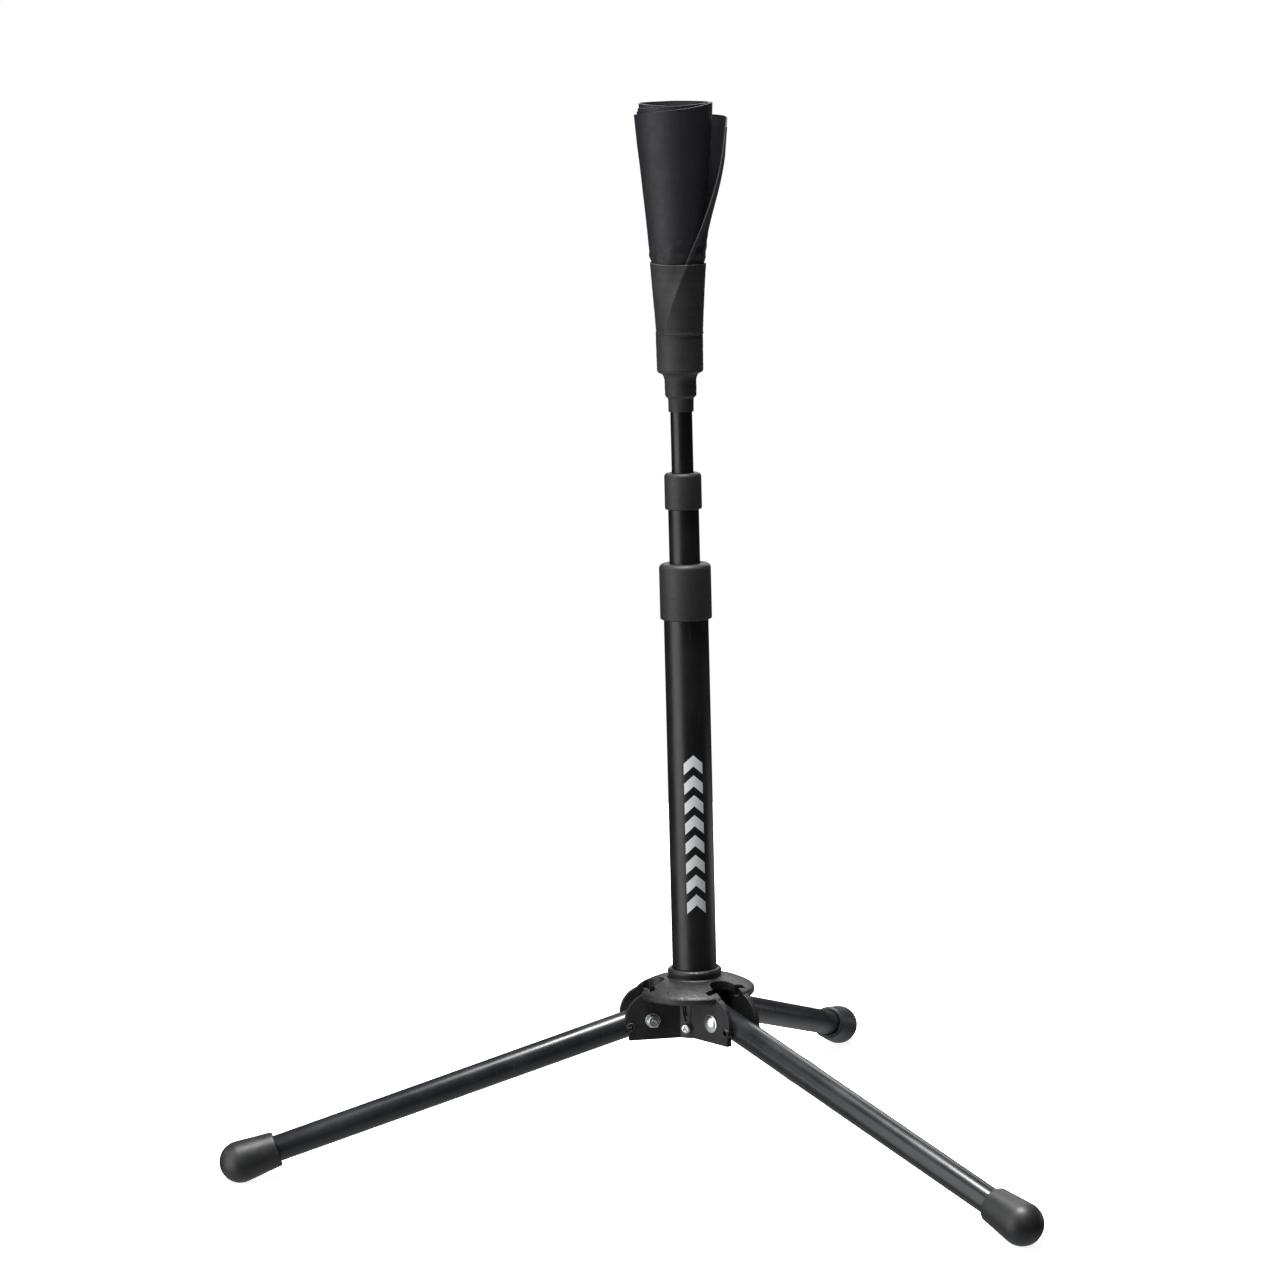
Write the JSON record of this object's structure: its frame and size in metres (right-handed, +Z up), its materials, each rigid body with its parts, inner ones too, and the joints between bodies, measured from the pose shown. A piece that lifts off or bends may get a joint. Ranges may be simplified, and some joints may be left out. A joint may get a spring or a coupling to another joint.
{
  "type": "batting tee",
  "caption": "Folding batting tee: moulded hub with swinging tube legs on rubber feet, telescoping column and a rolled-sheet cone that holds the ball.",
  "frame": {"origin": "on the floor, at the middle of the footprint's box; the column's axis stands 83.35 mm in front of it, at y = -0.08335", "axes": "+Z up along the column; +Y along the leg that points away from the viewer; +X to the viewer's right"},
  "size_m": [0.6074, 0.53, 0.7577],
  "materials": {
    "powder_coat": "semi-gloss black powder coat",
    "black_nylon": "fine moulded grain, satin",
    "inner_plastic": "plain moulded",
    "foot_rubber": "matte black",
    "rolled_sheet": "rubberised cloth, fine weave, matte",
    "sleeve_rubber": "matte shrink sleeve",
    "zinc_steel": "bright zinc plate",
    "spring_steel": "spring steel"
  },
  "bodies": {
    "base": {"hub": "black_nylon", "main_tube": "powder_coat", "main_tube_end_cap": "inner_plastic", "lower_collar": "black_nylon", "lower_bushing": "inner_plastic", "socket_screw_1": "zinc_steel", "socket_screw_2": "zinc_steel", "socket_screw_3": "zinc_steel", "pivot_bolt_1": "zinc_steel", "pivot_bolt_2": "zinc_steel", "pivot_bolt_3": "zinc_steel", "pivot_washer_1": "zinc_steel", "pivot_washer_2": "zinc_steel", "pivot_washer_3": "zinc_steel", "pivot_nut_1": "zinc_steel", "pivot_nut_2": "zinc_steel", "pivot_nut_3": "zinc_steel"},
    "mid_stage": {"mid_tube": "powder_coat", "upper_collar": "black_nylon", "upper_bushing": "inner_plastic", "mid_friction_plug": "inner_plastic", "mid_friction_ring": "foot_rubber"},
    "top_stage": {"top_tube": "powder_coat", "top_friction_plug": "inner_plastic", "top_friction_ring": "foot_rubber", "neck_adapter": "inner_plastic", "ball_rest_roll": "rolled_sheet", "shrink_sleeve": "sleeve_rubber"},
    "leg_1": {"leg_tube_1": "powder_coat", "leg_end_plug_1": "inner_plastic", "foot_1": "foot_rubber", "foot_washer_1": "zinc_steel", "snap_spring_1": "spring_steel"},
    "leg_2": {"leg_tube_2": "powder_coat", "leg_end_plug_2": "inner_plastic", "foot_2": "foot_rubber", "foot_washer_2": "zinc_steel", "snap_spring_2": "spring_steel"},
    "leg_3": {"leg_tube_3": "powder_coat", "leg_end_plug_3": "inner_plastic", "foot_3": "foot_rubber", "foot_washer_3": "zinc_steel", "snap_spring_3": "spring_steel"},
    "lock_button_1_left": {"snap_button_1_left": "zinc_steel"},
    "lock_button_1_right": {"snap_button_1_right": "zinc_steel"},
    "lock_button_2_left": {"snap_button_2_left": "zinc_steel"},
    "lock_button_2_right": {"snap_button_2_right": "zinc_steel"},
    "lock_button_3_left": {"snap_button_3_left": "zinc_steel"},
    "lock_button_3_right": {"snap_button_3_right": "zinc_steel"}
  },
  "joints": [
    {"name": "mid_slide", "type": "slide", "parent": "base", "child": "mid_stage", "axis": [0, 0, 1], "range_m": [-0.037, 0.195]},
    {"name": "top_slide", "type": "slide", "parent": "mid_stage", "child": "top_stage", "axis": [0, 0, 1], "range_m": [-0.042, 0.195]},
    {"name": "leg_fold_1", "type": "hinge", "parent": "base", "child": "leg_1", "pos_m": [-0.02944, -0.10035, 0.1024], "axis": [-0.5, 0.866, 0], "range_deg": [0, 104]},
    {"name": "leg_fold_2", "type": "hinge", "parent": "base", "child": "leg_2", "pos_m": [0.02944, -0.10035, 0.1024], "axis": [-0.5, -0.866, 0], "range_deg": [0, 104]},
    {"name": "leg_fold_3", "type": "hinge", "parent": "base", "child": "leg_3", "pos_m": [0, -0.04935, 0.1024], "axis": [1, 0, 0], "range_deg": [0, 104]},
    {"name": "button_press_1_left", "type": "slide", "parent": "leg_1", "child": "lock_button_1_left", "axis": [-0.5, 0.866, 0], "range_m": [0, 0.003], "stiffness_N_per_m": 600, "springref_m": -0.002, "deforming": ["snap_spring_1"]},
    {"name": "button_press_1_right", "type": "slide", "parent": "leg_1", "child": "lock_button_1_right", "axis": [0.5, -0.866, 0], "range_m": [0, 0.003], "stiffness_N_per_m": 600, "springref_m": -0.002, "deforming": ["snap_spring_1"]},
    {"name": "button_press_2_left", "type": "slide", "parent": "leg_2", "child": "lock_button_2_left", "axis": [-0.5, -0.866, 0], "range_m": [0, 0.003], "stiffness_N_per_m": 600, "springref_m": -0.002, "deforming": ["snap_spring_2"]},
    {"name": "button_press_2_right", "type": "slide", "parent": "leg_2", "child": "lock_button_2_right", "axis": [0.5, 0.866, 0], "range_m": [0, 0.003], "stiffness_N_per_m": 600, "springref_m": -0.002, "deforming": ["snap_spring_2"]},
    {"name": "button_press_3_left", "type": "slide", "parent": "leg_3", "child": "lock_button_3_left", "axis": [1, 0, 0], "range_m": [0, 0.003], "stiffness_N_per_m": 600, "springref_m": -0.002, "deforming": ["snap_spring_3"]},
    {"name": "button_press_3_right", "type": "slide", "parent": "leg_3", "child": "lock_button_3_right", "axis": [-1, 0, 0], "range_m": [0, 0.003], "stiffness_N_per_m": 600, "springref_m": -0.002, "deforming": ["snap_spring_3"]}
  ]
}
